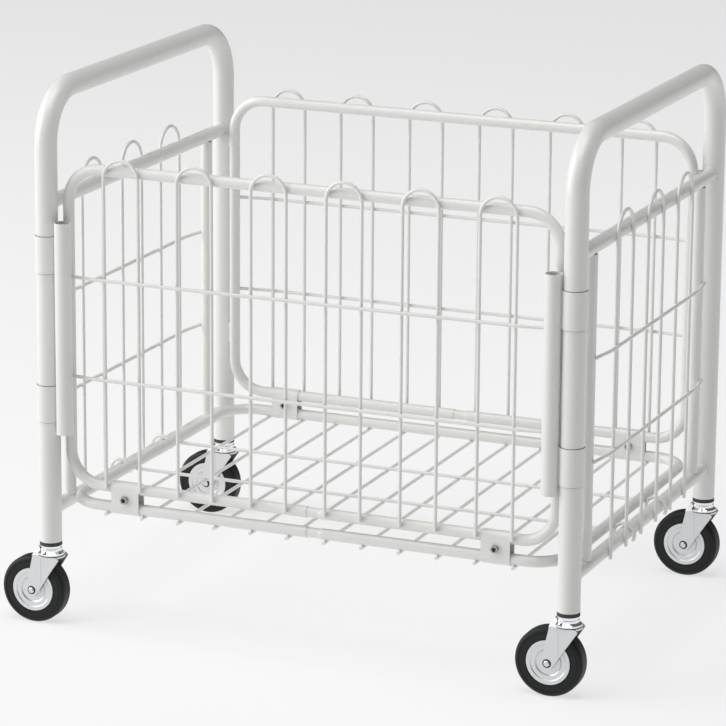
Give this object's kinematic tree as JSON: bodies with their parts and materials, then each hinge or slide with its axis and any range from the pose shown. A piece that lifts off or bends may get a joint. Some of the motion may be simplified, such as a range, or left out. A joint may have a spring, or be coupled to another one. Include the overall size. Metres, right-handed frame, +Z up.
{
  "type": "laundry cart",
  "caption": "White tubular steel laundry cart with wire panels, a fold-in gate between turning latch tubes, raised end handles and swivel casters.",
  "frame": {"origin": "on the ground under the middle of the whole cart's box", "axes": "+X along the cart away from the side the wheels trail to, -Y towards the gate, +Z up"},
  "size_m": [0.7, 0.4968, 0.6227],
  "materials": {
    "white_coat": "satin powder coat",
    "zinc": "bright zinc plate",
    "chrome": "polished",
    "black_plastic": "matt",
    "white_plastic": "matt",
    "tyre": "matt rubber"
  },
  "bodies": {
    "frame": {"left_handle_frame": "white_coat", "right_handle_frame": "white_coat", "left_top_rail": "white_coat", "right_top_rail": "white_coat", "left_bottom_rail": "white_coat", "right_bottom_rail": "white_coat", "left_uprights": "white_coat", "right_uprights": "white_coat", "left_end_wires": "white_coat", "right_end_wires": "white_coat", "back_panel_tube": "white_coat", "back_panel_wires": "white_coat", "back_panel_tabs": "white_coat", "floor_tube": "white_coat", "floor_wires": "white_coat", "floor_hooks": "white_coat", "front_clamps": "white_coat", "back_clamps": "white_coat", "clamp_bolts": "zinc", "clamp_nuts": "zinc", "leg_sockets": "black_plastic", "front_left_stem": "chrome", "front_right_stem": "chrome", "back_left_stem": "chrome", "back_right_stem": "chrome"},
    "gate": {"gate_tube": "white_coat", "gate_wires": "white_coat"},
    "left_latch": {"left_latch_tube": "white_coat", "left_latch_rings": "white_coat"},
    "right_latch": {"right_latch_tube": "white_coat", "right_latch_rings": "white_coat"},
    "front_left_swivel": {"front_left_fork": "zinc", "front_left_axle": "zinc"},
    "front_left_wheel": {"front_left_rim": "zinc", "front_left_tyre": "tyre", "front_left_bush": "white_plastic"},
    "front_right_swivel": {"front_right_fork": "zinc", "front_right_axle": "zinc"},
    "front_right_wheel": {"front_right_rim": "zinc", "front_right_tyre": "tyre", "front_right_bush": "white_plastic"},
    "back_left_swivel": {"back_left_fork": "zinc", "back_left_axle": "zinc"},
    "back_left_wheel": {"back_left_rim": "zinc", "back_left_tyre": "tyre", "back_left_bush": "white_plastic"},
    "back_right_swivel": {"back_right_fork": "zinc", "back_right_axle": "zinc"},
    "back_right_wheel": {"back_right_rim": "zinc", "back_right_tyre": "tyre", "back_right_bush": "white_plastic"}
  },
  "joints": [
    {"name": "gate_fold", "type": "hinge", "parent": "frame", "child": "gate", "pos_m": [0.019, -0.22, 0.1655], "axis": [-1, 0, 0], "range_deg": [0, 88]},
    {"name": "left_latch_turn", "type": "hinge", "parent": "frame", "child": "left_latch", "pos_m": [-0.292, -0.233, 0.345], "axis": [0, 0, 1], "range_deg": [-265, 0]},
    {"name": "right_latch_turn", "type": "hinge", "parent": "frame", "child": "right_latch", "pos_m": [0.33, -0.233, 0.345], "axis": [0, 0, 1], "range_deg": [0, 265]},
    {"name": "front_left_swivel_turn", "type": "hinge", "parent": "frame", "child": "front_left_swivel", "pos_m": [-0.292, -0.233, 0.079], "axis": [0, 0, 1], "continuous": true},
    {"name": "front_left_wheel_spin", "type": "hinge", "parent": "front_left_swivel", "child": "front_left_wheel", "pos_m": [-0.311, -0.233, 0.039], "axis": [0, 1, 0], "continuous": true},
    {"name": "front_right_swivel_turn", "type": "hinge", "parent": "frame", "child": "front_right_swivel", "pos_m": [0.33, -0.233, 0.079], "axis": [0, 0, 1], "continuous": true},
    {"name": "front_right_wheel_spin", "type": "hinge", "parent": "front_right_swivel", "child": "front_right_wheel", "pos_m": [0.311, -0.233, 0.039], "axis": [0, 1, 0], "continuous": true},
    {"name": "back_left_swivel_turn", "type": "hinge", "parent": "frame", "child": "back_left_swivel", "pos_m": [-0.292, 0.233, 0.079], "axis": [0, 0, 1], "continuous": true},
    {"name": "back_left_wheel_spin", "type": "hinge", "parent": "back_left_swivel", "child": "back_left_wheel", "pos_m": [-0.311, 0.233, 0.039], "axis": [0, 1, 0], "continuous": true},
    {"name": "back_right_swivel_turn", "type": "hinge", "parent": "frame", "child": "back_right_swivel", "pos_m": [0.33, 0.233, 0.079], "axis": [0, 0, 1], "continuous": true},
    {"name": "back_right_wheel_spin", "type": "hinge", "parent": "back_right_swivel", "child": "back_right_wheel", "pos_m": [0.311, 0.233, 0.039], "axis": [0, 1, 0], "continuous": true}
  ]
}
